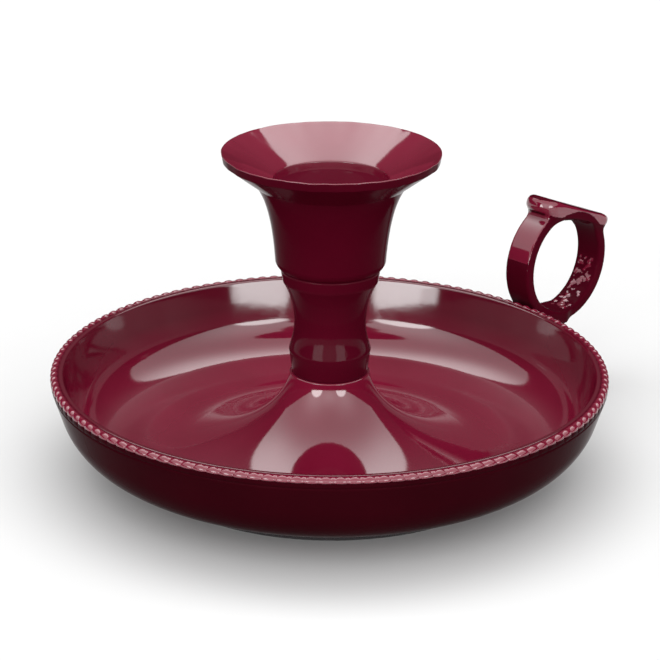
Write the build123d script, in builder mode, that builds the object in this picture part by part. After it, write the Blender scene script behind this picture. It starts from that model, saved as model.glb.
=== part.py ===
from build123d import *
from math import atan2, cos, degrees, floor, pi, radians, sin, sqrt, tan
import os

# Chamberstick with a finger loop. Millimetres, +Z up, origin on the dish's axis
# at the level of the table, with the loop on the +X side.

# Dish
rim_radius = 75.0
rim_height = 28.0
lip_width = 1.4
wall_lean = 17.5
inner_wall_lean = 12.0
skirt_height = 9.37
turn_radius = 18.0
foot_radius = 51.4
dish_thickness = 2.2
valley_inset = 4.4
floor_blend_radius = 14.0
seat_drop = 1.1
seat_margin = 0.6
hollow_inset_share = 0.8
# Most of each straight that a rounded corner may use up, at an end of the line and within it
end_room_share = 0.9
shared_room_share = 0.48
# The raised centre's curve: how far out and how far down its two middle points lie
swell_out_shares = (0.028, 0.254)
swell_down_shares = (0.40, 0.868)

# Beads on the outer top corner of the rim
bead_width = 2.1
bead_rise = 0.45
bead_pitch = 3.5
bead_gap = 0.25
bead_proud = 0.3
strip_drop = 0.35
strip_depth = 2.6
solder_gap = 0.05

# Stem
stem_height = 29.3
stem_foot_radius = 10.2
drum_flare = 0.8
drum_height = 6.4
waist_radius = 9.63
waist_height = 13.7
band_low_radius = 12.75
band_radius = 13.35
band_height = 3.5
stem_edge_round = 0.5
# The two hollows beside the waist: bend of each curve along its own height
drum_bend_shares = (0.18, 0.56)
drum_reach_shares = (0.15, 1.0)
waist_bend_shares = (0.45, 0.74)
waist_reach_shares = (0.0, 0.41)

# Candle socket
socket_height = 32.1
seam_inset = 0.35
cup_wall = 3.45
cup_round = 2.0
cup_corner_share = 0.7
cup_corner_rise_share = 0.2
neck_wall = 4.75
neck_height = 23.3
neck_bend_shares = (0.37, 0.77)
neck_reach_shares = (0.11, 0.32)
flange_radius = 29.0
flange_edge = 2.35
flange_draft = 0.4
mouth_flare = 4.0
funnel_depth = 7.45
candle_radius = 11.0
candle_clearance = 0.25
candle_seat_depth = 10.3
candle_floor = 3.0
lead_bend_shares = (0.3, 0.5)
lead_reach_shares = (0.0, 0.84)
spigot_radius = 5.0
spigot_length = 6.0
spigot_clearance = 0.05
spigot_end_gap = 0.3

# Fasteners under the raised centre
rod_radius = 3.0
rod_tail = 2.0
rod_chamfer = 0.5
rod_hole_clearance = 0.3
thread_clearance = 0.05
thread_reach = 1.5
thread_end_gap = 0.2
flat_washer_radius = 6.0
flat_washer_thickness = 1.6
spring_washer_radius = 5.9
spring_washer_thickness = 1.6
spring_washer_gap = 0.9
washer_clearance = 0.2
nut_across_flats = 10.0
nut_height = 5.0

# Felt ring under the foot
felt_thickness = 1.2
felt_outer_inset = 1.0
felt_inner_inset = 0.3

# Finger loop
loop_hole_radius = 14.4
loop_band = 3.1
loop_width = 8.7
loop_rim_gap = 0.1
loop_centre_rise = 8.2
plate_tilt = 18.2
plate_sink = 1.0
plate_inner_overhang = 5.4
plate_outer_overhang = 4.3
plate_side_overhang = 1.1
plate_inner_thickness = 4.7
plate_outer_thickness = 2.4
plate_flat_inset = 2.7
plate_round = 1.1
loop_blend_radius = 1.5
blend_limit_share = 0.9
loop_inner_blend = 1.0
root_drop = 1.5
root_height = 10.6
root_blend_radius = 2.5
root_start_angle = -60
root_out_shares = (0.34, 0.7)
root_down_shares = (0.72, 1.0)
tenon_radius = 2.5
tenon_clearance = 0.05
corner_tolerance = 0.01

# Heights and radii that follow from the sizes above
foot_z = felt_thickness
valley_z = foot_z + dish_thickness
valley_radius = foot_radius - valley_inset
seat_z = rim_height - seat_drop
seat_radius = stem_foot_radius + seat_margin
hollow_inset = dish_thickness * hollow_inset_share
strip_z = rim_height - strip_depth
strip_top_z = rim_height - strip_drop
wall_top_radius = rim_radius - bead_proud
rebate_radius = rim_radius - bead_width - solder_gap
lip_radius = rebate_radius - lip_width
rod_hole_radius = rod_radius + rod_hole_clearance
thread_radius = rod_radius + thread_clearance
washer_hole_radius = rod_radius + washer_clearance
under_seat_z = seat_z - dish_thickness
stem_top_z = seat_z + stem_height
socket_top_z = stem_top_z + socket_height
candle_floor_z = stem_top_z + candle_floor
candle_bore_radius = candle_radius + candle_clearance
cup_radius = candle_bore_radius + cup_wall
mouth_radius = candle_bore_radius + mouth_flare
neck_radius = mouth_radius + neck_wall
drum_radius = stem_foot_radius + drum_flare
cup_seat_radius = band_radius - seam_inset
socket_bore_radius = spigot_radius + spigot_clearance
spigot_end_z = stem_top_z - spigot_length
corner_z = foot_z + skirt_height
corner_radius = wall_top_radius - (strip_z - corner_z) * tan(radians(wall_lean))
skirt_rise = degrees(atan2(skirt_height, corner_radius - foot_radius))
skirt_lift = dish_thickness / cos(radians(skirt_rise))


def wall_meets_skirt(wall_point, wall_angle, skirt_point):
    """Corner of the leaning wall through one point and the conical skirt through the other."""
    lean = tan(radians(wall_angle))
    rise = tan(radians(skirt_rise))
    wall_r, wall_z = wall_point
    skirt_r, skirt_z = skirt_point
    meet_z = (skirt_z + (wall_r - skirt_r - wall_z * lean) * rise) / (1 - lean * rise)
    return (wall_r - (wall_z - meet_z) * lean, meet_z)


def fitted_radii(points, radii):
    """Corner radii along a line, none larger than the straights beside it leave room for."""
    straights = [Vector(*end) - Vector(*start) for start, end in zip(points, points[1:])]
    rooms = [straight.length * shared_room_share for straight in straights]
    rooms[0] = straights[0].length * end_room_share
    rooms[-1] = straights[-1].length * end_room_share
    fitted = []
    for i, radius in enumerate(radii):
        half_turn = radians(straights[i].get_angle(straights[i + 1])) / 2
        fitted.append(min(radius, min(rooms[i], rooms[i + 1]) / tan(half_turn)))
    return fitted


def bent_curve(start, end, out_shares, up_shares):
    """Four points of a curve whose two middle ones lie at shares of the way from start to end."""
    span = (end[0] - start[0], end[1] - start[1])
    middle = [(start[0] + span[0] * out, start[1] + span[1] * up) for out, up in zip(out_shares, up_shares)]
    return [start, *middle, end]


wall_top = (wall_top_radius, strip_z)
foot_edge = (foot_radius, foot_z)
outer_corner = (corner_radius, corner_z)
lip_edge = (lip_radius, rim_height)
inner_skirt = (foot_radius, foot_z + skirt_lift)
inner_corner = wall_meets_skirt(lip_edge, inner_wall_lean, inner_skirt)
floor_corner = (foot_radius - (skirt_lift - dish_thickness) / tan(radians(skirt_rise)), valley_z)
swell = bent_curve((seat_radius, seat_z), (valley_radius, valley_z), swell_out_shares, swell_down_shares)
hollow = [(r - hollow_inset, z - dish_thickness) for r, z in swell]
foot_inner_radius = hollow[-1][0]
inside = [swell[-1], floor_corner, inner_corner, lip_edge]
inside_radii = fitted_radii(inside, (floor_blend_radius, turn_radius - dish_thickness))
outside = [wall_top, outer_corner, foot_edge]
outside_radii = fitted_radii(outside, (turn_radius,))

# Ring of the loop stands just clear of the beads; its plate is square to the tilted line
loop_outer_radius = loop_hole_radius + loop_band
loop_x = rim_radius + loop_rim_gap + loop_outer_radius
loop_z = rim_height + loop_centre_rise
plate_under = loop_hole_radius - plate_sink
plate_chord = sqrt(loop_outer_radius**2 - plate_under**2)
plate_inner_reach = plate_chord + plate_inner_overhang
plate_outer_reach = plate_chord + plate_outer_overhang
plate_length = plate_inner_reach + plate_outer_reach
plate_width = loop_width + 2 * plate_side_overhang
plate_straight = min(plate_inner_reach, plate_outer_reach) - plate_flat_inset
plate_taper = degrees(atan2(plate_inner_thickness - plate_outer_thickness, plate_length))
plate_x = loop_x + plate_under * sin(radians(plate_tilt))
plate_z = loop_z + plate_under * cos(radians(plate_tilt))
root_top_z = strip_z - root_drop
root_low_z = root_top_z - root_height
tenon_z = (root_top_z + root_low_z) / 2

# Dish: one turned shell with a raised hollow centre
with BuildPart() as dish:
    with BuildSketch(Plane.XZ):
        with BuildLine():
            Line((rod_hole_radius, seat_z), swell[0])
            Bezier(*swell)
            FilletPolyline(inside, radius=inside_radii)
            Polyline(lip_edge, (rebate_radius, rim_height), (rebate_radius, strip_z), wall_top)
            FilletPolyline(outside, radius=outside_radii)
            Line(foot_edge, hollow[-1])
            Bezier(*reversed(hollow))
            Polyline(hollow[0], (rod_hole_radius, under_seat_z), (rod_hole_radius, seat_z))
        make_face()
    revolve(axis=Axis.Z)
    # Hole for the loop's tenon
    with BuildSketch(Plane.YZ.offset(valley_radius)):
        with Locations((0, tenon_z)):
            Circle(tenon_radius + tenon_clearance)
    extrude(amount=rim_radius - valley_radius, mode=Mode.SUBTRACT)
dish.part.label = "dish"

# One bead: a small barrel lying along the rim
bead_radius = bead_width / 2
bead_ring_radius = rim_radius - bead_radius
bead_z = rim_height + bead_rise - bead_radius
bead_count = floor(2 * pi * bead_ring_radius / bead_pitch)
bead_length = 2 * pi * bead_ring_radius / bead_count - bead_gap
with BuildPart() as bead:
    with BuildSketch(Plane.XY.offset(bead_z)):
        Ellipse(bead_radius, bead_length / 2)
        Rectangle(bead_radius, bead_length, align=(Align.MAX, Align.CENTER), mode=Mode.SUBTRACT)
    revolve(axis=Axis((0, 0, bead_z), (0, 1, 0)))

# Beaded rim: a strip let into the rim's outer top corner, with the beads along it
strip_radius = rebate_radius + solder_gap
with BuildPart() as beaded_rim:
    with BuildSketch(Plane.XZ):
        with BuildLine():
            Polyline(
                (strip_radius, strip_z),
                (wall_top_radius, strip_z),
                (wall_top_radius, strip_top_z),
                (strip_radius, strip_top_z),
                close=True,
            )
        make_face()
    revolve(axis=Axis.Z)
    with PolarLocations(bead_ring_radius, bead_count):
        add(bead.part)
beaded_rim.part.label = "beaded_rim"

# Stem: drum foot, waist and top band, bored through for the rod
drum_z = seat_z + drum_height
waist_z = seat_z + waist_height
band_z = stem_top_z - band_height
drum_edge = (drum_radius, drum_z)
waist = (waist_radius, waist_z)
band_edge = (band_low_radius, band_z)
foot_hollow = bent_curve(drum_edge, waist, drum_reach_shares, drum_bend_shares)
band_hollow = bent_curve(waist, band_edge, waist_reach_shares, waist_bend_shares)
with BuildPart() as stem:
    with BuildSketch(Plane.XZ):
        with BuildLine():
            Polyline((rod_hole_radius, seat_z), (stem_foot_radius, seat_z), drum_edge)
            Bezier(*foot_hollow)
            Bezier(*band_hollow)
            Polyline(
                band_edge,
                (band_radius, stem_top_z),
                (socket_bore_radius, stem_top_z),
                (socket_bore_radius, spigot_end_z - spigot_end_gap),
                (rod_hole_radius, spigot_end_z - spigot_end_gap),
                (rod_hole_radius, seat_z),
            )
        make_face()
    revolve(axis=Axis.Z)
    outer_rims = stem.edges().filter_by(GeomType.CIRCLE).filter_by(lambda e: e.radius > socket_bore_radius)
    rims = outer_rims.group_by(Axis.Z)
    fillet(rims[0] + rims[-1], stem_edge_round)
stem.part.label = "stem"

# Candle socket: flared cup with a funnel, a candle seat and a spigot below
flange_low_z = socket_top_z - flange_edge
mouth_z = socket_top_z - funnel_depth
candle_seat_z = candle_floor_z + candle_seat_depth
cup_side_z = stem_top_z + cup_round
cup_corner = (
    cup_seat_radius + (cup_radius - cup_seat_radius) * cup_corner_share,
    stem_top_z + cup_round * cup_corner_rise_share,
)
neck = (neck_radius, stem_top_z + neck_height)
lead_in = bent_curve(
    (candle_bore_radius, candle_seat_z), (mouth_radius, mouth_z), lead_reach_shares, lead_bend_shares
)
with BuildPart() as candle_socket:
    with BuildSketch(Plane.XZ):
        with BuildLine():
            Polyline(
                (0, stem_top_z + thread_reach),
                (thread_radius, stem_top_z + thread_reach),
                (thread_radius, spigot_end_z),
                (spigot_radius, spigot_end_z),
                (spigot_radius, stem_top_z),
                (cup_seat_radius, stem_top_z),
            )
            Bezier((cup_seat_radius, stem_top_z), cup_corner, (cup_radius, cup_side_z))
            Bezier(*bent_curve((cup_radius, cup_side_z), neck, neck_reach_shares, neck_bend_shares))
            Polyline(
                neck,
                (flange_radius - flange_draft, flange_low_z),
                (flange_radius, socket_top_z),
                (mouth_radius, mouth_z),
            )
            Bezier(*reversed(lead_in))
            Polyline(
                (candle_bore_radius, candle_seat_z),
                (candle_bore_radius, candle_floor_z),
                (0, candle_floor_z),
                (0, stem_top_z + thread_reach),
            )
        make_face()
    revolve(axis=Axis.Z)
candle_socket.part.label = "candle_socket"

# Rod, washers and nut
flat_washer_z = under_seat_z - flat_washer_thickness
spring_washer_z = flat_washer_z - spring_washer_thickness
nut_z = spring_washer_z - nut_height
rod_low_z = nut_z - rod_tail
rod_top_z = stem_top_z + thread_reach - thread_end_gap
with BuildPart() as tie_rod:
    with BuildSketch(Plane.XY.offset(rod_low_z)):
        Circle(rod_radius)
    extrude(amount=rod_top_z - rod_low_z)
    chamfer(tie_rod.edges().filter_by(GeomType.CIRCLE), rod_chamfer)
tie_rod.part.label = "tie_rod"

with BuildPart() as flat_washer:
    with BuildSketch(Plane.XY.offset(flat_washer_z)):
        Circle(flat_washer_radius)
        Circle(washer_hole_radius, mode=Mode.SUBTRACT)
    extrude(amount=flat_washer_thickness)
flat_washer.part.label = "flat_washer"

with BuildPart() as spring_washer:
    with BuildSketch(Plane.XY.offset(spring_washer_z)):
        Circle(spring_washer_radius)
        Circle(washer_hole_radius, mode=Mode.SUBTRACT)
        Rectangle(
            spring_washer_radius,
            spring_washer_gap,
            align=(Align.MIN, Align.CENTER),
            mode=Mode.SUBTRACT,
        )
    extrude(amount=spring_washer_thickness)
spring_washer.part.label = "spring_washer"

nut_corner_radius = nut_across_flats / 2 / cos(pi / 6)
nut_chamfer = nut_corner_radius - nut_across_flats / 2
with BuildPart() as hex_nut:
    with BuildSketch(Plane.XY.offset(nut_z)):
        RegularPolygon(nut_corner_radius, 6)
        Circle(thread_radius, mode=Mode.SUBTRACT)
    extrude(amount=nut_height)
    with BuildSketch(Plane.XZ):
        with BuildLine():
            Polyline(
                (0, nut_z),
                (nut_across_flats / 2, nut_z),
                (nut_corner_radius, nut_z + nut_chamfer),
                (nut_corner_radius, nut_z + nut_height - nut_chamfer),
                (nut_across_flats / 2, nut_z + nut_height),
                (0, nut_z + nut_height),
                close=True,
            )
        make_face()
    revolve(axis=Axis.Z, mode=Mode.INTERSECT)
hex_nut.part.label = "hex_nut"

# Felt ring glued under the foot
with BuildPart() as base_felt:
    with BuildSketch(Plane.XY):
        Circle(foot_radius - felt_outer_inset)
        Circle(foot_inner_radius + felt_inner_inset, mode=Mode.SUBTRACT)
    extrude(amount=felt_thickness)
base_felt.part.label = "base_felt"

# Thumb plate with rounded edges, square to the loop's tilted line below and thinner towards its outer end
tilt = radians(plate_tilt)
under_plane = Plane((plate_x, 0, plate_z), x_dir=(cos(tilt), 0, -sin(tilt)), z_dir=(sin(tilt), 0, cos(tilt)))
inner_top = under_plane.from_local_coords((-plate_inner_reach, 0, plate_inner_thickness))
top_plane = Plane(inner_top, x_dir=under_plane.x_dir, z_dir=under_plane.z_dir).rotated((0, plate_taper, 0))
with BuildPart() as thumb_plate:
    with BuildSketch(under_plane):
        with Locations(((plate_outer_reach - plate_inner_reach) / 2, 0)):
            SlotOverall(plate_length, plate_width)
    extrude(amount=plate_width)
    split(bisect_by=top_plane, keep=Keep.BOTTOM)
    flats = thumb_plate.faces().filter_by(under_plane) + thumb_plate.faces().filter_by(top_plane)
    fillet(flats.edges(), plate_round)

# Finger loop: ring and thumb plate in one casting, with a root shaped to the dish wall
# and a tenon through the wall, dressed flush inside
root_turn = radians(root_start_angle)
root_start = (loop_x + loop_outer_radius * cos(root_turn), loop_z + loop_outer_radius * sin(root_turn))
root_end = (lip_radius, root_low_z)
# Largest blend that still ends on the straight part of the plate's underside
blend_room = plate_straight**2 - loop_outer_radius**2 + plate_under**2
blend_limit = blend_room / (2 * (loop_outer_radius + plate_under))


def on_ring(radius):
    """Test for a side-view corner that lies on a circle of the ring."""
    return lambda v: abs(Vector(v.X - loop_x, v.Y - loop_z).length - radius) < corner_tolerance


saddle = [(r + solder_gap, z) for r, z in reversed(outside)]
with BuildPart() as finger_loop:
    with BuildSketch(Plane.XZ) as side_view:
        with Locations((loop_x, loop_z)):
            Circle(loop_outer_radius)
        with BuildLine():
            Bezier(*bent_curve(root_start, root_end, root_out_shares, root_down_shares))
            Polyline(root_end, (lip_radius, root_top_z), (loop_x, root_top_z), (loop_x, loop_z), root_start)
        make_face()
        with Locations((loop_x, loop_z)):
            Circle(loop_hole_radius, mode=Mode.SUBTRACT)
        with Locations(Location((plate_x, plate_z), -plate_tilt)):
            Rectangle(plate_length, plate_length, align=(Align.CENTER, Align.MIN), mode=Mode.SUBTRACT)
            Rectangle(2 * plate_straight, plate_outer_thickness / 2, align=(Align.CENTER, Align.MIN))
        outer_corners = side_view.vertices().filter_by(on_ring(loop_outer_radius)).sort_by(Axis.Y)
        fillet(outer_corners[-2:], min(loop_blend_radius, blend_limit * blend_limit_share))
        fillet(side_view.vertices().filter_by(on_ring(loop_hole_radius)), loop_inner_blend)
        root_corner = side_view.vertices().filter_by(on_ring(loop_outer_radius)).sort_by(Axis.X)[0]
        fillet(root_corner, root_blend_radius)
    extrude(amount=loop_width / 2, both=True)
    # Saddle that follows the outside of the dish
    with BuildSketch(Plane.XZ):
        with BuildLine():
            Line((0, foot_z), saddle[0])
            FilletPolyline(saddle, radius=outside_radii)
            Polyline(saddle[-1], (0, strip_z), (0, foot_z))
        make_face()
    revolve(axis=Axis.Z, mode=Mode.SUBTRACT)
    add(thumb_plate.part)
    with BuildSketch(Plane.YZ.offset(valley_radius)):
        with Locations((0, tenon_z)):
            Circle(tenon_radius)
    extrude(amount=rim_radius - valley_radius)
    with BuildSketch(Plane.XZ):
        with BuildLine():
            Line((0, valley_z), swell[-1])
            FilletPolyline(inside, radius=inside_radii)
            Polyline(lip_edge, (0, rim_height), (0, valley_z))
        make_face()
    revolve(axis=Axis.Z, mode=Mode.SUBTRACT)
finger_loop.part.label = "finger_loop"

os.makedirs("parts", exist_ok=True)
for piece in (
    dish,
    beaded_rim,
    stem,
    candle_socket,
    tie_rod,
    flat_washer,
    spring_washer,
    hex_nut,
    base_felt,
    finger_loop,
):
    export_step(piece.part, f"parts/{piece.part.label}.step")
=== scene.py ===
from math import acos, atan2, ceil, cos, floor, hypot, pi, radians, sin, sqrt, tan

import bmesh
import bpy
import numpy as np
from mathutils import Matrix, Vector


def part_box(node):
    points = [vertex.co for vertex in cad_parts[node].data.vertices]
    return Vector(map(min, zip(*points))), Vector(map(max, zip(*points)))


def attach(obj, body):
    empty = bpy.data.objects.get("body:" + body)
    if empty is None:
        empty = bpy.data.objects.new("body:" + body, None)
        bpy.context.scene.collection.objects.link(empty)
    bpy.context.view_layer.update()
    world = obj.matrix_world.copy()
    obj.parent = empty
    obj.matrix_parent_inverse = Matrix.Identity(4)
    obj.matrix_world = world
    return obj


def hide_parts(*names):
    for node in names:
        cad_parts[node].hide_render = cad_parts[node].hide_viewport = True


# Chamberstick in glossy dark red enamel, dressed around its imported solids. Metres.
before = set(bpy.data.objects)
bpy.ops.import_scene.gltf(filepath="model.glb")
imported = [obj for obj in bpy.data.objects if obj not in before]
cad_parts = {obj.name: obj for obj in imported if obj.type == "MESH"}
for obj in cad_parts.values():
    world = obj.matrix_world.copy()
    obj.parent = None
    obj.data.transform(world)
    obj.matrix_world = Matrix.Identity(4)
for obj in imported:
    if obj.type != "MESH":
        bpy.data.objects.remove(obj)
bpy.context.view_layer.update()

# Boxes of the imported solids
dish_low, dish_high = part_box("dish")
strip_low, strip_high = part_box("beaded_rim")
stem_low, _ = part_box("stem")
socket_low, socket_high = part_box("candle_socket")
loop_low, loop_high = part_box("finger_loop")
rod_low, rod_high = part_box("tie_rod")
flat_low, flat_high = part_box("flat_washer")
spring_low, spring_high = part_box("spring_washer")
nut_low, nut_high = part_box("hex_nut")
felt_low, felt_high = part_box("base_felt")

# Mesh fineness, and what is too small to count
turn_steps = 288
outline_step = 0.0009
curve_steps = 60
arc_step = radians(9)
tiny = 1e-9
tiny_area = 1e-12

# Dish; the shares place a curve's two middle points between its ends
foot_z = dish_low.z
rim_z = dish_high.z
wall_top_radius = dish_high.y
seat_z = stem_low.z
dish_thickness = 0.0022
solder_gap = 0.00005
lip_width = 0.0014
lip_round = 0.0005
wall_lean = radians(17.5)
inner_wall_lean = radians(12)
skirt_height = 0.00937
turn_radius = 0.018
foot_radius = 0.0514
foot_round = 0.0004
valley_inset = 0.0044
floor_lift = 0.0008
floor_rise = radians(13.5)
floor_turn_radius = 0.012
valley_blend_radius = 0.03
valley_blend_rows = 6
seat_radius = 0.0108
seat_round = 0.0003
hollow_inset_share = 0.8
swell_out_shares = (0.018, 0.31)
swell_down_shares = (0.37, 0.87)
hollow_out_shares = (0.028, 0.254)
hollow_down_shares = (0.4, 0.868)
rod_hole_radius = 0.0033

# Beads on the rim; the shares run along the strip's skin from the land to the wall
strip_z = strip_low.z
bead_outer_radius = strip_high.y
bead_width = 0.0021
bead_pitch = 0.0035
bead_steps = 14
bead_height = 0.0004
bead_corner_radius = 0.0011
bead_foot_height = 0.0011
bead_fullness = 0.75
bead_point_width = 0.1
bead_land_share = 0.46
bead_lit_share = 0.6
bead_turn_start = 0.2
bead_turn_length = 0.4

# Stem
spigot_length = 0.006
stem_top_z = socket_low.z + spigot_length
stem_foot_radius = 0.0102
drum_radius = 0.011
drum_height = 0.0064
waist_radius = 0.00963
waist_height = 0.0137
band_low_radius = 0.01275
band_radius = 0.01335
band_height = 0.0035
stem_round = 0.0005
drum_reach_shares = (0.15, 1.0)
drum_bend_shares = (0.18, 0.56)
waist_reach_shares = (0.0, 0.41)
waist_bend_shares = (0.45, 0.74)
spigot_radius = 0.005
spigot_clearance = 0.00005
spigot_end_gap = 0.0003

# Candle socket; the flange's waves are (count around, phase)
flange_radius = socket_high.y
socket_top_z = socket_high.z
cup_seat_radius = 0.013
cup_radius = 0.0147
cup_round = 0.002
cup_corner_share = 0.7
cup_corner_rise_share = 0.2
neck_radius = 0.02
neck_height = 0.0233
neck_reach_shares = (0.11, 0.32)
neck_bend_shares = (0.37, 0.77)
flange_edge = 0.00235
flange_draft = 0.0004
flange_round = 0.0003
flange_top_round = 0.00015
flange_wear = 0.00022
flange_waves = ((5, 0.7), (9, 2.1), (17, 4.0), (31, 1.2))
mouth_radius = 0.01525
mouth_round = 0.0005
mouth_rows = 8
funnel_depth = 0.00745
candle_bore_radius = 0.01125
candle_seat_depth = 0.0103
candle_floor = 0.003
lead_reach_shares = (0.16, 1.0)
lead_bend_shares = (0.5, 0.7)
thread_radius = 0.00305
thread_reach = 0.0015

# Finger loop
loop_hole_radius = 0.0144
loop_band = 0.0031
loop_width = 0.0087
loop_edge_round = 0.0008
loop_rim_gap = 0.0001
loop_centre_rise = 0.0082
plate_tilt = radians(18.2)
plate_sink = 0.0012
plate_inner_overhang = 0.0054
plate_outer_overhang = 0.0043
plate_side_overhang = 0.0011
plate_inner_thickness = 0.0049
plate_outer_thickness = 0.0026
plate_round_share = 0.9
loop_blend = 0.0032
root_blend = 0.004
root_high_half = 0.005
root_z = 0.0186

# Loop's mesh: grid cells, the cells around its box, and how points settle on its skin
loop_grid = 0.0003
margin_before = 2.5
margin_after = 3
settle_rounds = 6
settle_fineness = 10
least_slope_square = 0.25

# Casting lumps inside the loop's outer limb; the spread is a share of the loop's width
lump_seed = 11
lump_count = 190
lump_angles = (radians(-88), radians(-8))
lump_spread = 0.34
lump_widths = (0.00035, 0.0007)
lump_heights = (0.00003, 0.00014)
lump_tip_share = 0.8

# How far a face of the loop turns before it takes painted shade: to a side, down or up
side_facing = 0.6
plate_down_facing = -0.6
ring_down_facing = 0.22
plate_up_facing = 0.75

# Fasteners and felt ring
rod_radius = rod_high.y
rod_chamfer_share = 1 / 6
rod_chamfer_slope = 1.2
rod_steps = 48
thread_pitch = 0.001
thread_depth = 0.0005
thread_rows = 8
washer_hole_radius = 0.0032
washer_round = 0.0002
washer_steps = 96
spring_gap = 0.0009
nut_steps = 96
nut_flat = nut_high.y
nut_face_share = 0.97
nut_chamfer_slope = 1.2
felt_inset = 0.0003
felt_round = 0.0002

# Finishes: noise in cells per metre, bump depths, and gloss as (least, most) roughness
tone_stops = (0.3, 0.7)
cloud_scale = 55
cloud_detail = 5
gloss_scale = 240
peel_scale = 420
peel_detail = 1
peel_depth = 0.000006
enamel_ior = 1.5
wet_gloss = (0.05, 0.09)
soft_gloss = (0.06, 0.1)
dull_gloss = (0.1, 0.16)
bright_tones = ((0.168, 0.0058, 0.0242), (0.192, 0.0077, 0.03))
# Painted shade: the next four tone lines are darker copies of the bright tones, for the candle
# bore, the stem, the cup's outside and the loop's shaded faces, and the dish's outside and bead
# strip
bore_shade_tones = ((0.15, 0.007, 0.024), (0.17, 0.009, 0.03))
stem_shade_tones = ((0.062, 0.0018, 0.0085), (0.072, 0.0022, 0.01))
painted_shade_tones = ((0.055, 0.0012, 0.007), (0.065, 0.0016, 0.0085))
shade_tones = ((0.026, 0.0012, 0.0035), (0.031, 0.0015, 0.0042))
# Painted shade: the dish's inside darkens to this tone between these heights, towards the top of
# its wall
wall_shade_tone = (0.105, 0.0035, 0.0145)
wall_shade_heights = (0.013, 0.021)
zinc_tones = ((0.34, 0.34, 0.35), (0.52, 0.52, 0.54))
zinc_gloss = (0.28, 0.5)
bloom_scale = 900
bloom_detail = 4
pit_scale = 2500
pit_depth = 0.00001
felt_tones = ((0.006, 0.005, 0.006), (0.04, 0.034, 0.038))
felt_stops = (0.3, 0.75)
felt_roughness = 0.95
felt_sheen = 0.3
fibre_scale = 2600
fibre_detail = 6
fibre_roughness = 0.7
fibre_depth = 0.0002

# Photograph's camera: its place, the way it points and its lens
camera_spot = Vector((-0.4316, -0.4392, 0.2705))
camera_heading = radians(45.5)
camera_pitch = radians(20.66)
camera_roll = radians(0.52)
camera_lens = 134.0
camera_sensor = 36.0

# Studio's white canopy, as slopes of the lines of sight to its edges, and its lamps as
# (direction, radiance, tightness); directions are (right, away, up) from the camera
canopy_back = 0.8
canopy_back_softness = 0.05
canopy_side = 2.75
canopy_side_softness = 0.1
canopy_splay = 0.69
canopy_shift = -0.1
canopy_radiance = 0.95
canopy_lamps = (
    ((0, 0.75, 1), 2.6, 7),
    ((-0.5, 0.45, 1), 0.9, 30),
    ((0.5, 0.45, 1), 0.6, 30),
    ((-0.62, -0.75, 0.3), 1.1, 10),
    ((0.62, -0.75, 0.3), 0.9, 10),
    ((0, -1, 0.25), 0.9, 20),
)
least_gaze_height = 0.001
room_radiance = 0.02
room_lamp = ((0, 0.95, 1), 0.3, 14)
# Two round panels low in front, as (direction, radiance, angle from middle to edge)
panel_lamps = (
    ((-0.56, -0.83, 0.045), 5.2, radians(13)),
    ((0.52, -0.86, 0.045), 4.8, radians(12)),
)
panel_softness = 1.25

# Floor
stage_radius = 20.0
stage_steps = 96
stage_drop = 0.00005
stage_tones = ((0.74, 0.74, 0.74), (0.76, 0.76, 0.76))
stage_bounce = (0.3, 0.3, 0.3)
stage_grain = 6
stage_roughness = 0.9


# Outlines, as lists of (radius, height)


def bezier(*points):
    """Points along the curve with these control points."""
    share = np.linspace(0, 1, curve_steps)[:, None]
    rows = [np.tile(point, (curve_steps, 1)) for point in points]
    while len(rows) > 1:
        rows = [a * (1 - share) + b * share for a, b in zip(rows, rows[1:])]
    return [tuple(point) for point in rows[0]]


def bent_curve(start, end, out_shares, up_shares):
    """Curve whose two middle points lie at shares of the way from start to end."""
    out, up = end[0] - start[0], end[1] - start[1]
    middle = [(start[0] + out * a, start[1] + up * b) for a, b in zip(out_shares, up_shares)]
    return bezier(start, *middle, end)


def arc_corner(before, corner, after, radius):
    """Points of the arc that rounds one corner of an outline."""
    before, corner, after = (np.array(p[:2]) for p in (before, corner, after))
    to_before = (before - corner) / np.linalg.norm(before - corner)
    to_after = (after - corner) / np.linalg.norm(after - corner)
    half = acos(np.clip(to_before @ to_after, -1, 1)) / 2
    bisector = (to_before + to_after) / np.linalg.norm(to_before + to_after)
    centre = corner + bisector * radius / sin(half)
    first = corner + to_before * radius / tan(half) - centre
    last = corner + to_after * radius / tan(half) - centre
    start = atan2(first[1], first[0])
    sweep = (atan2(last[1], last[0]) - start + pi) % (2 * pi) - pi
    steps = max(2, ceil(abs(sweep) / arc_step), ceil(2 * radius * abs(sweep) / outline_step))
    angles = [start + sweep * k / steps for k in range(steps + 1)]
    return [(centre[0] + radius * cos(a), centre[1] + radius * sin(a)) for a in angles]


def outline(*corners):
    """Points through (radius, height) corners; a third number rounds that corner."""
    points = []
    for k, corner in enumerate(corners):
        if len(corner) == 3 and 0 < k < len(corners) - 1:
            points += arc_corner(corners[k - 1], corner, corners[k + 1], corner[2])
        else:
            points.append(corner[:2])
    spaced = [points[0]]
    for a, b in zip(points, points[1:]):
        out, up = b[0] - a[0], b[1] - a[1]
        cuts = ceil(hypot(out, up) / outline_step)
        spaced += [(a[0] + out * k / cuts, a[1] + up * k / cuts) for k in range(1, cuts + 1)]
    return spaced


# Pieces


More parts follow.
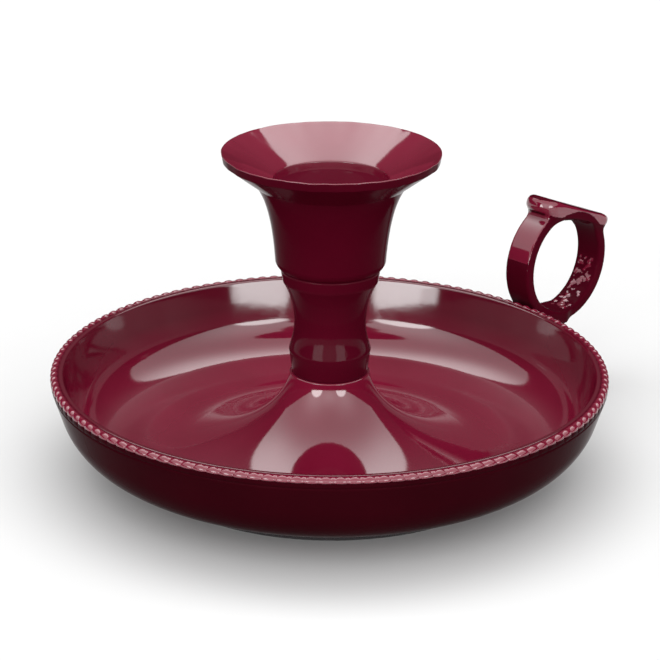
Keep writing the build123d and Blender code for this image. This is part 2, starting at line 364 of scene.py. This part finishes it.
def new_piece(name, vertices, faces, materials, face_materials=None):
    """Mesh object with smooth shading and its normals outward."""
    mesh = bpy.data.meshes.new(name)
    mesh.from_pydata([tuple(v) for v in vertices], [], faces)
    for material in materials:
        mesh.materials.append(material)
    if face_materials is not None:
        mesh.polygons.foreach_set("material_index", face_materials)
    shell = bmesh.new()
    shell.from_mesh(mesh)
    bmesh.ops.recalc_face_normals(shell, faces=shell.faces)
    shell.to_mesh(mesh)
    shell.free()
    mesh.shade_smooth()
    piece = bpy.data.objects.new(name, mesh)
    bpy.context.scene.collection.objects.link(piece)
    return piece


def dress(piece, node):
    """The piece stands for a node, whose imported part it hides, and moves with the one body."""
    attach(piece, "root")
    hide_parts(node)


def lathe(name, runs, start=0.0, end=2 * pi, steps=turn_steps, shape=None):
    """Turned mesh of a closed outline given as runs of (material, points).

    shape(radius, height, angle) may change a point's radius and height.
    """
    whole = end - start > 2 * pi - tiny
    angles = start + (end - start) * np.arange(steps + (not whole)) / steps
    rows, row_material, materials = [], [], []
    for material, points in runs:
        if material not in materials:
            materials.append(material)
        rows += points[:-1]
        row_material += [materials.index(material)] * (len(points) - 1)
    vertices, index = [], []
    for radius, height in rows:
        if radius < tiny:
            index.append([len(vertices)] * len(angles))
            vertices.append((0, 0, height))
            continue
        index.append(list(range(len(vertices), len(vertices) + len(angles))))
        for angle in angles:
            r, z = shape(radius, height, angle) if shape else (radius, height)
            vertices.append((r * cos(angle), r * sin(angle), z))
    faces, face_materials = [], []
    for low, high, material in zip(index, index[1:] + index[:1], row_material):
        for j in range(len(angles) if whole else len(angles) - 1):
            k = (j + 1) % len(angles)
            corners = list(dict.fromkeys((low[j], low[k], high[k], high[j])))
            if len(corners) > 2:
                faces.append(corners)
                face_materials.append(material)
    if not whole:
        faces += [[row[0] for row in index], [row[-1] for row in index]]
        face_materials += [0, 0]
    return new_piece(name, vertices, faces, materials, face_materials)


# Shader nodes


def nodes_of(name):
    """New material with its node tree, its shader and the object's own coordinates."""
    material = bpy.data.materials.new(name)
    material.use_nodes = True
    tree = material.node_tree
    shader = tree.nodes["Principled BSDF"]
    place = tree.nodes.new("ShaderNodeTexCoord").outputs["Object"]
    return material, tree, shader, place


def noise(tree, place, scale, detail=3.0, roughness=0.5):
    """Noise texture's grey value at a scale in cells per metre."""
    node = tree.nodes.new("ShaderNodeTexNoise")
    node.inputs["Scale"].default_value = scale
    node.inputs["Detail"].default_value = detail
    node.inputs["Roughness"].default_value = roughness
    tree.links.new(place, node.inputs["Vector"])
    return node.outputs["Fac"]


def ramp(tree, value, colours, stops=tone_stops):
    """Colour between two, over a grey value between two stops."""
    node = tree.nodes.new("ShaderNodeValToRGB")
    for element, stop, colour in zip(node.color_ramp.elements, stops, colours):
        element.position = stop
        element.color = (*colour, 1)
    tree.links.new(value, node.inputs["Fac"])
    return node.outputs["Color"]


def spread_over(tree, value, before=(0, 1), after=(0, 1), smooth=False):
    """Value carried from one range over to another and held at its ends."""
    node = tree.nodes.new("ShaderNodeMapRange")
    if smooth:
        node.interpolation_type = "SMOOTHSTEP"
    for name, number in zip(("From Min", "From Max", "To Min", "To Max"), (*before, *after)):
        node.inputs[name].default_value = number
    tree.links.new(value, node.inputs["Value"])
    return node.outputs["Result"]


def blend(tree, factor, **colours):
    """Colour between A and B, each a node's output or (red, green, blue)."""
    node = tree.nodes.new("ShaderNodeMix")
    node.data_type = "RGBA"
    tree.links.new(factor, node.inputs["Factor"])
    for name, colour in colours.items():
        if isinstance(colour, tuple):
            node.inputs[name].default_value = (*colour, 1)
        else:
            tree.links.new(colour, node.inputs[name])
    return node.outputs["Result"]


def bump(tree, shader, value, depth):
    """Bump of a grey value on a shader, depth in metres."""
    node = tree.nodes.new("ShaderNodeBump")
    node.inputs["Distance"].default_value = depth
    tree.links.new(value, node.inputs["Height"])
    tree.links.new(node.outputs["Normal"], shader.inputs["Normal"])


def maths(tree, operation, *values):
    """One arithmetic step on numbers or node outputs."""
    node = tree.nodes.new("ShaderNodeMath")
    node.operation = operation
    for socket, value in zip(node.inputs, values):
        if isinstance(value, (int, float)):
            socket.default_value = value
        else:
            tree.links.new(value, socket)
    return node.outputs["Value"]


# Materials


def enamel(name, tones, gloss, specular, painted_wall_shade=False):
    """Fired enamel: faint clouds of tone, a little orange peel and a slightly uneven gloss.

    With painted wall shade, the colour darkens towards the top of the dish's wall.
    """
    material, tree, shader, place = nodes_of(name)
    colour = ramp(tree, noise(tree, place, cloud_scale, cloud_detail), tones)
    if painted_wall_shade:
        axes = tree.nodes.new("ShaderNodeSeparateXYZ")
        tree.links.new(place, axes.inputs["Vector"])
        climb = spread_over(tree, axes.outputs["Z"], before=wall_shade_heights)
        colour = blend(tree, climb, A=colour, B=wall_shade_tone)
    rough = spread_over(tree, noise(tree, place, gloss_scale), after=gloss)
    tree.links.new(colour, shader.inputs["Base Color"])
    tree.links.new(rough, shader.inputs["Roughness"])
    bump(tree, shader, noise(tree, place, peel_scale, peel_detail), peel_depth)
    shader.inputs["IOR"].default_value = enamel_ior
    shader.inputs["Specular IOR Level"].default_value = specular
    return material


def zinc():
    """Zinc-plated steel with a dull crystal bloom."""
    material, tree, shader, place = nodes_of("zinc_steel")
    bloom = noise(tree, place, bloom_scale, bloom_detail)
    tree.links.new(ramp(tree, bloom, zinc_tones), shader.inputs["Base Color"])
    tree.links.new(spread_over(tree, bloom, after=zinc_gloss), shader.inputs["Roughness"])
    bump(tree, shader, noise(tree, place, pit_scale), pit_depth)
    shader.inputs["Metallic"].default_value = 1.0
    return material


def felt():
    """Dark pressed wool."""
    material, tree, shader, place = nodes_of("wool_felt")
    fibres = noise(tree, place, fibre_scale, fibre_detail, fibre_roughness)
    tree.links.new(ramp(tree, fibres, felt_tones, felt_stops), shader.inputs["Base Color"])
    bump(tree, shader, fibres, fibre_depth)
    shader.inputs["Roughness"].default_value = felt_roughness
    shader.inputs["Sheen Weight"].default_value = felt_sheen
    return material


# One enamel as the photograph shows it: a wet, lit copy inside, and darker, duller copies that
# paint shade outside and on faces in shade
bright_enamel = enamel("bright_enamel", bright_tones, wet_gloss, specular=1.0)
dish_enamel = enamel("dish_enamel", bright_tones, wet_gloss, specular=1.0, painted_wall_shade=True)
bore_shade_enamel = enamel("bore_shade_enamel", bore_shade_tones, soft_gloss, specular=0.03)
stem_shade_enamel = enamel("stem_shade_enamel", stem_shade_tones, soft_gloss, specular=0.06)
painted_shade_enamel = enamel("painted_shade_enamel", painted_shade_tones, dull_gloss, specular=0.008)
shade_enamel = enamel("shade_enamel", shade_tones, dull_gloss, specular=0.005)
zinc_steel = zinc()
wool_felt = felt()

# Dish: raised centre, floor, wall and skirt in one turned shell
valley_z = foot_z + dish_thickness
valley_radius = foot_radius - valley_inset
floor_z = valley_z + floor_lift
corner_z = foot_z + skirt_height
corner_radius = wall_top_radius - (strip_z - corner_z) * tan(wall_lean)
strip_radius = bead_outer_radius - bead_width
rebate_radius = strip_radius - solder_gap
lip_radius = rebate_radius - lip_width
under_seat_z = seat_z - dish_thickness
# The floor rises gently from the raised centre to meet the leaning wall
floor_drop = rim_z - floor_z - (lip_radius - valley_radius) * tan(floor_rise)
corner_drop = floor_drop / (1 - tan(inner_wall_lean) * tan(floor_rise))
inner_corner = (lip_radius - corner_drop * tan(inner_wall_lean), rim_z - corner_drop)
seat_edge = (seat_radius, seat_z)
swell = bent_curve(seat_edge, (valley_radius, floor_z), swell_out_shares, swell_down_shares)
under = bent_curve(seat_edge, (valley_radius, valley_z), hollow_out_shares, hollow_down_shares)
hollow = [(r - dish_thickness * hollow_inset_share, z - dish_thickness) for r, z in under]
dish_inside = outline(
    (rod_hole_radius, seat_z),
    (*seat_edge, seat_round),
    *swell[1:-valley_blend_rows],
    (valley_radius, floor_z, valley_blend_radius),
    (*inner_corner, floor_turn_radius),
    (lip_radius, rim_z, lip_round),
    (rebate_radius, rim_z),
)
dish_outside = outline(
    (rebate_radius, rim_z),
    (rebate_radius, strip_z),
    (wall_top_radius, strip_z),
    (corner_radius, corner_z, turn_radius),
    (foot_radius, foot_z, foot_round),
    *reversed(hollow),
    (rod_hole_radius, under_seat_z),
    (rod_hole_radius, seat_z),
)
valley_row = next(k for k, (radius, _) in enumerate(dish_inside) if radius >= valley_radius)
# Painted shade: the dish's outside takes the darkest enamel copy, and the floor and wall take the
# copy darkened towards the wall's top
dish_runs = [
    (bright_enamel, dish_inside[: valley_row + 1]),
    (dish_enamel, dish_inside[valley_row:]),
    (shade_enamel, dish_outside),
]
dress(lathe("drip_dish", dish_runs), "dish")

# Beaded rim: lobes that swell from a point on the land, over the corner and down the wall
bead_count = floor(2 * pi * (bead_outer_radius - bead_width / 2) / bead_pitch)
groove_radius = bead_outer_radius - bead_height
bead_path = outline(
    (strip_radius, rim_z),
    (groove_radius, rim_z, bead_corner_radius),
    (groove_radius, strip_z + bead_foot_height),
    (wall_top_radius, strip_z),
)
path_steps = [hypot(b[0] - a[0], b[1] - a[1]) for a, b in zip(bead_path, bead_path[1:])]
path_length = np.cumsum([0] + path_steps)
path_share = {point: length / path_length[-1] for point, length in zip(bead_path, path_length)}
lit_end = int(np.searchsorted(path_length, bead_lit_share * path_length[-1]))


def lobed(radius, height, angle):
    """Raises the strip's skin into lobes, pointed at the land and full at the corner."""
    share = path_share.get((radius, height), 0)
    across = abs(2 * ((angle * bead_count / (2 * pi)) % 1) - 1)
    width = bead_point_width + (1 - bead_point_width) * min(1, share / bead_land_share)
    rise = sin(pi * min(1, share / (2 * bead_land_share))) if share < 2 * bead_land_share else 0
    lift = bead_height * rise * max(0, 1 - (across / width) ** 2) ** bead_fullness
    turn = min(1, max(0, (share - bead_turn_start) / bead_turn_length)) * pi / 2
    return radius + lift * sin(turn), height + lift * cos(turn)


strip_back = outline((wall_top_radius, strip_z), (strip_radius, strip_z), (strip_radius, rim_z))
# Painted shade: the strip's skin past the lit share and its back take the darkest enamel copy
strip_runs = [
    (bright_enamel, bead_path[: lit_end + 1]),
    (shade_enamel, bead_path[lit_end:] + strip_back[1:]),
]
bead_strip = lathe("bead_strip", strip_runs, steps=bead_count * bead_steps, shape=lobed)
dress(bead_strip, "beaded_rim")

# Stem: drum foot, waist and top band
drum_edge = (drum_radius, seat_z + drum_height)
waist = (waist_radius, seat_z + waist_height)
band_edge = (band_low_radius, stem_top_z - band_height)
spigot_bore = spigot_radius + spigot_clearance
bore_end_z = socket_low.z - spigot_end_gap
stem_side = outline(
    (rod_hole_radius, seat_z),
    (stem_foot_radius, seat_z, stem_round),
    *bent_curve(drum_edge, waist, drum_reach_shares, drum_bend_shares),
    *bent_curve(waist, band_edge, waist_reach_shares, waist_bend_shares)[1:],
    (band_radius, stem_top_z, stem_round),
    (spigot_bore, stem_top_z),
    (spigot_bore, bore_end_z),
    (rod_hole_radius, bore_end_z),
    (rod_hole_radius, seat_z),
)
# Painted shade: the stem takes a darker copy of the enamel
dress(lathe("waisted_stem", [(stem_shade_enamel, stem_side)]), "stem")

# Candle socket: cup, flange, funnel and bore
neck = (neck_radius, stem_top_z + neck_height)
cup_side = (cup_radius, stem_top_z + cup_round)
cup_corner = (
    cup_seat_radius + (cup_radius - cup_seat_radius) * cup_corner_share,
    stem_top_z + cup_round * cup_corner_rise_share,
)
mouth = (mouth_radius, socket_top_z - funnel_depth)
thread_end_z = stem_top_z + thread_reach
candle_floor_z = stem_top_z + candle_floor
candle_seat = (candle_bore_radius, candle_floor_z + candle_seat_depth)
lead_in = bent_curve(mouth, candle_seat, lead_reach_shares, lead_bend_shares)
cup_outside = outline(
    (0, thread_end_z),
    (thread_radius, thread_end_z),
    (thread_radius, socket_low.z),
    (spigot_radius, socket_low.z),
    (spigot_radius, stem_top_z),
    *bezier((cup_seat_radius, stem_top_z), cup_corner, cup_side),
    *bent_curve(cup_side, neck, neck_reach_shares, neck_bend_shares)[1:],
    (flange_radius - flange_draft, socket_top_z - flange_edge, flange_round),
    (flange_radius, socket_top_z - flange_round),
)
funnel = outline(
    (flange_radius, socket_top_z - flange_round),
    (flange_radius, socket_top_z, flange_top_round),
    (*mouth, mouth_round),
    lead_in[mouth_rows],
)
candle_bore = outline(
    *lead_in[mouth_rows:],
    (candle_bore_radius, candle_floor_z),
    (0, candle_floor_z),
    (0, thread_end_z),
)


def worn(radius, height, angle):
    """Wears the flange's edge a little unevenly."""
    share = max(0, (radius - neck_radius) / (flange_radius - neck_radius)) ** 2
    waves = sum(sin(count * angle + phase) for count, phase in flange_waves)
    wave = 0.5 + waves / (2 * len(flange_waves))
    return radius - flange_wear * share * wave, height - flange_wear * share * (1 - wave)


# Painted shade: the cup's outside takes a darker enamel copy, and the candle bore a slightly
# darker one
socket_runs = [
    (painted_shade_enamel, cup_outside),
    (bright_enamel, funnel),
    (bore_shade_enamel, candle_bore),
]
dress(lathe("flared_socket", socket_runs, shape=worn), "candle_socket")

# Finger loop: ring, thumb plate and root blended like one casting
loop_outer_radius = loop_hole_radius + loop_band
loop_mid_radius = loop_hole_radius + loop_band / 2
loop_x = bead_outer_radius + loop_rim_gap + loop_outer_radius
loop_z = rim_z + loop_centre_rise
plate_under = loop_hole_radius - plate_sink
plate_chord = sqrt(loop_outer_radius**2 - plate_under**2)
plate_inner_reach = plate_chord + plate_inner_overhang
plate_outer_reach = plate_chord + plate_outer_overhang
plate_half = (plate_inner_reach + plate_outer_reach) / 2
plate_shift = (plate_outer_reach - plate_inner_reach) / 2
plate_half_width = loop_width / 2 + plate_side_overhang
rng = np.random.default_rng(lump_seed)
lumps = [
    (
        rng.uniform(*lump_angles),
        rng.uniform(-lump_spread, lump_spread) * loop_width,
        rng.uniform(*lump_widths),
        rng.uniform(*lump_heights),
    )
    for _ in range(lump_count)
]
wall_profile = np.array(
    sorted((z, r) for r, z in dish_outside if r > foot_radius and foot_z < z <= strip_z)
)


def soft_box(first, second, radius):
    """Distance to a rounded corner, from the signed distances to its two sides."""
    first, second = first + radius, second + radius
    outside = np.hypot(np.maximum(first, 0), np.maximum(second, 0))
    return outside + np.minimum(np.maximum(first, second), 0) - radius


def soft_join(first, second, reach):
    """Union of two distances with a blend."""
    near = np.clip(0.5 + 0.5 * (second - first) / reach, 0, 1)
    return second + (first - second) * near - reach * near * (1 - near)


def cast_lumps(point):
    """Height of the rough lumps that the casting left on the inside of the ring's outer limb."""
    out, up = point[..., 0] - loop_x, point[..., 2] - loop_z
    height = np.zeros(out.shape)
    near = (np.abs(np.hypot(out, up) - loop_hole_radius) < loop_band / 2) & (out > 0)
    turn, side = np.arctan2(up[near], out[near]), point[..., 1][near]
    for angle, across, wide, tall in lumps:
        away = np.hypot(loop_hole_radius * (turn - angle), side - across)
        height[near] += tall * np.exp(-((away / wide) ** 2))
    return height


def loop_field(point):
    """Signed distance to the loop's skin, less than zero inside."""
    x, y, z = point[..., 0], point[..., 1], point[..., 2]
    out, up = x - loop_x, z - loop_z
    from_centre = np.hypot(out, up)
    run = out * cos(plate_tilt) - up * sin(plate_tilt)
    over = out * sin(plate_tilt) + up * cos(plate_tilt) - plate_under
    side = np.abs(y) - loop_width / 2
    band = np.abs(from_centre - loop_mid_radius) - loop_band / 2
    ring = np.maximum(soft_box(band, side, loop_edge_round), over - plate_outer_thickness / 2)

    ends = np.maximum(np.abs(run - plate_shift) - (plate_half - plate_half_width), 0)
    share = np.clip((run - plate_shift) / (2 * plate_half) + 0.5, 0, 1)
    taper = plate_outer_thickness - plate_inner_thickness
    half = (plate_inner_thickness + taper * share) / 2
    rim = np.hypot(ends, y) - plate_half_width
    plate = soft_box(rim, np.abs(over - half) - half, half * plate_round_share)

    reach = np.clip((loop_x - x) / (loop_x - lip_radius), 0, 1)
    spine = root_z + (loop_z - loop_mid_radius - root_z) * (1 - reach)
    depth = loop_band / 2 + (root_high_half - loop_band / 2) * reach
    root = soft_box(np.maximum(np.abs(z - spine) - depth, x - loop_x), side, loop_edge_round)

    skin = soft_join(soft_join(ring, plate, loop_blend), root, root_blend)
    hole = np.where(over < 0, loop_hole_radius - from_centre, -plate_inner_thickness)
    skin = np.maximum(skin, hole) - cast_lumps(point)
    wall = np.interp(z, wall_profile[:, 0], wall_profile[:, 1])
    clear = (np.hypot(x, y) - wall - solder_gap) * cos(wall_lean)
    return np.maximum(skin, -clear)


def surface_net(field, low, high, step):
    """Quads over a field's zero skin, one corner to each grid cell that it crosses."""
    axes = [
        np.arange(a - margin_before * step, b + margin_after * step, step)
        for a, b in zip(low, high)
    ]
    inside = field(np.stack(np.meshgrid(*axes, indexing="ij"), -1)) < 0
    wide, deep, tall = (count - 1 for count in inside.shape)
    corners = sum(
        inside[i : i + wide, j : j + deep, k : k + tall].astype(int)
        for i, j, k in np.ndindex(2, 2, 2)
    )
    crossed = (corners > 0) & (corners < 8)
    index = np.full(crossed.shape, -1)
    index[crossed] = np.arange(crossed.sum())
    cells = np.argwhere(crossed)
    points = np.stack([axes[a][cells[:, a]] + step / 2 for a in range(3)], -1)
    faces = []
    for axis in range(3):
        a, b = (axis + 1) % 3, (axis + 2) % 3
        first = np.take(inside, range(inside.shape[axis] - 1), axis)
        second = np.take(inside, range(1, inside.shape[axis]), axis)
        for cell in np.argwhere(first != second):
            around = []
            for da, db in ((0, 0), (-1, 0), (-1, -1), (0, -1)):
                corner = cell.copy()
                corner[a] += da
                corner[b] += db
                around.append(int(index[tuple(corner)]))
            faces.append(around if first[tuple(cell)] else around[::-1])
    return points, faces


def settle(field, points, nudge):
    """Moves points on to the field's zero skin."""
    for _ in range(settle_rounds):
        slope = np.stack(
            [
                (field(points + nudge * axis) - field(points - nudge * axis)) / (2 * nudge)
                for axis in np.eye(3)
            ],
            -1,
        )
        square = np.maximum((slope**2).sum(-1), least_slope_square)
        points = points - slope * (field(points) / square)[:, None]
    return points


def in_shade(points, faces):
    """Which of the loop's faces take painted shade: sides, underside, hole and the plate's flat
    top.

    The tips of the casting lumps are left out of the painted shade and show as small lit glints.
    """
    quads = points[np.array(faces)]
    normals = np.cross(quads[:, 2] - quads[:, 0], quads[:, 3] - quads[:, 1])
    normals /= np.maximum(np.linalg.norm(normals, axis=1), tiny_area)[:, None]
    middles = quads.mean(axis=1)
    out, up = middles[:, 0] - loop_x, middles[:, 2] - loop_z
    over = out * sin(plate_tilt) + up * cos(plate_tilt)
    turn = np.arctan2(up, out)
    in_hole = np.hypot(out, up) < loop_mid_radius
    down_facing = np.where(over > loop_hole_radius / 2, plate_down_facing, ring_down_facing)
    shaded = in_hole | (normals[:, 2] < down_facing)
    shaded |= (np.abs(normals[:, 1]) > side_facing) & (over < plate_under)
    shaded |= (normals[:, 2] > plate_up_facing) & (over > plate_under)
    rough = in_hole & (turn > lump_angles[0]) & (turn < lump_angles[1])
    return shaded & ~(rough & (cast_lumps(middles) > lump_heights[1] * lump_tip_share))


loop_points, loop_faces = surface_net(loop_field, loop_low, loop_high, loop_grid)
loop_points = settle(loop_field, loop_points, loop_grid / settle_fineness)
loop_points = np.clip(loop_points, loop_low, loop_high)
# Painted shade: the faces so picked take the darker enamel copy
loop_shade = in_shade(loop_points, loop_faces).astype(int)
loop_enamels = [bright_enamel, painted_shade_enamel]
cast_loop = new_piece("cast_loop", loop_points, loop_faces, loop_enamels, loop_shade)
dress(cast_loop, "finger_loop")

# Fasteners under the raised centre


def threaded(radius, height, angle):
    """Cuts a thread into the rod's side."""
    turn = (height / thread_pitch - angle / (2 * pi)) % 1
    cut = thread_depth * (1 - abs(2 * turn - 1))
    return (radius - cut, height) if radius > rod_radius - tiny else (radius, height)


rod_chamfer = rod_radius * rod_chamfer_share
rod_end_radius = rod_radius - rod_chamfer * rod_chamfer_slope
rod_rows = ceil((rod_high.z - rod_low.z) / (thread_pitch / thread_rows))
rod_heights = np.linspace(rod_low.z + rod_chamfer, rod_high.z - rod_chamfer, rod_rows + 1)
rod_outline = [
    (0, rod_low.z),
    (rod_end_radius, rod_low.z),
    *((rod_radius, height) for height in rod_heights),
    (rod_end_radius, rod_high.z),
    (0, rod_high.z),
    (0, rod_low.z),
]
threaded_rod = lathe("threaded_rod", [(zinc_steel, rod_outline)], steps=rod_steps, shape=threaded)
dress(threaded_rod, "tie_rod")


def washer_runs(low, high):
    """Section of a washer with rounded edges, between its box's corners."""
    middle = (low.z + high.z) / 2
    section = outline(
        (washer_hole_radius, middle),
        (washer_hole_radius, low.z, washer_round),
        (high.y, low.z, washer_round),
        (high.y, high.z, washer_round),
        (washer_hole_radius, high.z, washer_round),
        (washer_hole_radius, middle),
    )
    return [(zinc_steel, section)]


plain_washer = lathe("plain_washer", washer_runs(flat_low, flat_high), steps=washer_steps)
dress(plain_washer, "flat_washer")
split = spring_gap / spring_high.y
split_washer = lathe(
    "split_washer", washer_runs(spring_low, spring_high), split, 2 * pi - split, washer_steps
)
dress(split_washer, "spring_washer")


def hexagonal(radius, height, angle):
    """Brings a round blank to the nut's six flats, under its chamfers."""
    flat = nut_flat / cos((angle + pi / 6) % (pi / 3) - pi / 6)
    return min(radius, flat), height


nut_face = nut_flat * nut_face_share
nut_corner = nut_flat / cos(pi / 6)
nut_chamfer = (nut_corner - nut_flat) * tan(pi / 6) * nut_chamfer_slope
nut_outline = outline(
    (thread_radius, nut_low.z),
    (nut_face, nut_low.z),
    (nut_corner, nut_low.z + nut_chamfer),
    (nut_corner, nut_high.z - nut_chamfer),
    (nut_face, nut_high.z),
    (thread_radius, nut_high.z),
    (thread_radius, nut_low.z),
)
clamp_nut = lathe("clamp_nut", [(zinc_steel, nut_outline)], steps=nut_steps, shape=hexagonal)
dress(clamp_nut, "hex_nut")

# Felt ring under the foot
felt_inner_radius = hollow[-1][0] + felt_inset
felt_section = outline(
    (felt_inner_radius, felt_low.z),
    (felt_high.y, felt_low.z, felt_round),
    (felt_high.y, felt_high.z),
    (felt_inner_radius, felt_high.z),
    (felt_inner_radius, felt_low.z),
)
dress(lathe("felt_ring", [(wool_felt, felt_section)]), "base_felt")

# Camera
heading = Vector((cos(camera_heading), sin(camera_heading), 0))
sideways = Vector((heading.y, -heading.x, 0))
forward = heading * cos(camera_pitch) - Vector((0, 0, sin(camera_pitch)))
upward = sideways.cross(forward)
right = sideways * cos(camera_roll) + upward * sin(camera_roll)
top = upward * cos(camera_roll) - sideways * sin(camera_roll)
camera = bpy.data.objects.new("photo_camera", bpy.data.cameras.new("photo_camera"))
camera.data.lens = camera_lens
camera.data.sensor_width = camera_sensor
camera.matrix_world = Matrix((right, top, -forward)).transposed().to_4x4()
camera.location = camera_spot
bpy.context.scene.collection.objects.link(camera)
bpy.context.scene.camera = camera

# Light: a white canopy overhead that comes down in front, brightest where its lamps stand,
# in a dim room


def facing(tree, direction, axis):
    """Cosine between a direction and an axis given as (right, away, up) from the camera."""
    node = tree.nodes.new("ShaderNodeVectorMath")
    node.operation = "DOT_PRODUCT"
    axis = sideways * axis[0] + heading * axis[1] + Vector((0, 0, axis[2]))
    node.inputs[1].default_value = axis.normalized()
    tree.links.new(direction, node.inputs[0])
    return node.outputs["Value"]


def edge(tree, value, outside, inside):
    """Soft edge: 0 at one value and 1 at the other."""
    return spread_over(tree, value, before=(outside, inside), smooth=True)


def glow(tree, direction, axis, radiance, tightness):
    """Soft bright patch around one direction."""
    off = maths(tree, "SUBTRACT", facing(tree, direction, axis), 1.0)
    fade = maths(tree, "EXPONENT", maths(tree, "MULTIPLY", off, tightness))
    return maths(tree, "MULTIPLY", fade, radiance)


world = bpy.data.worlds.new("studio")
world.use_nodes = True
sky = world.node_tree
gaze = sky.nodes.new("ShaderNodeTexCoord").outputs["Generated"]
gaze_height = maths(sky, "MAXIMUM", facing(sky, gaze, (0, 0, 1)), least_gaze_height)
over_right = maths(sky, "DIVIDE", facing(sky, gaze, (1, 0, 0)), gaze_height)
over_away = maths(sky, "DIVIDE", facing(sky, gaze, (0, 1, 0)), gaze_height)
aside = maths(sky, "ABSOLUTE", maths(sky, "ADD", over_right, canopy_shift))
splayed = maths(sky, "ADD", aside, maths(sky, "MULTIPLY", over_away, canopy_splay))
canopy = maths(
    sky,
    "MULTIPLY",
    edge(sky, over_away, canopy_back + canopy_back_softness, canopy_back),
    edge(sky, splayed, canopy_side + canopy_side_softness, canopy_side),
)
canopy_light = canopy_radiance
for lamp in canopy_lamps:
    canopy_light = maths(sky, "ADD", glow(sky, gaze, *lamp), canopy_light)
room_light = maths(sky, "ADD", glow(sky, gaze, *room_lamp), room_radiance)
for axis, radiance, reach in panel_lamps:
    panel = edge(sky, facing(sky, gaze, axis), cos(reach * panel_softness), cos(reach))
    room_light = maths(sky, "ADD", maths(sky, "MULTIPLY", panel, radiance), room_light)
light = maths(sky, "ADD", maths(sky, "MULTIPLY", canopy, canopy_light), room_light)
sky.links.new(light, sky.nodes["Background"].inputs["Color"])
bpy.context.scene.world = world
bpy.context.scene.view_settings.view_transform = "Standard"

# Floor: pale to the camera and in reflections, and darker in the soft light that it throws back
stage_angles = [2 * pi * k / stage_steps for k in range(stage_steps)]
stage_points = [(stage_radius * cos(a), stage_radius * sin(a), -stage_drop) for a in stage_angles]
pale, pale_tree, pale_shader, pale_place = nodes_of("pale_floor")
grain = ramp(pale_tree, noise(pale_tree, pale_place, stage_grain), stage_tones)
ray = pale_tree.nodes.new("ShaderNodeLightPath").outputs
seen = maths(pale_tree, "MAXIMUM", ray["Is Camera Ray"], ray["Is Glossy Ray"])
seen = maths(pale_tree, "MAXIMUM", seen, ray["Is Transmission Ray"])
pale_tone = blend(pale_tree, seen, A=stage_bounce, B=grain)
pale_tree.links.new(pale_tone, pale_shader.inputs["Base Color"])
pale_shader.inputs["Roughness"].default_value = stage_roughness
studio_floor = new_piece("studio_floor", stage_points, [list(range(stage_steps))], [pale])
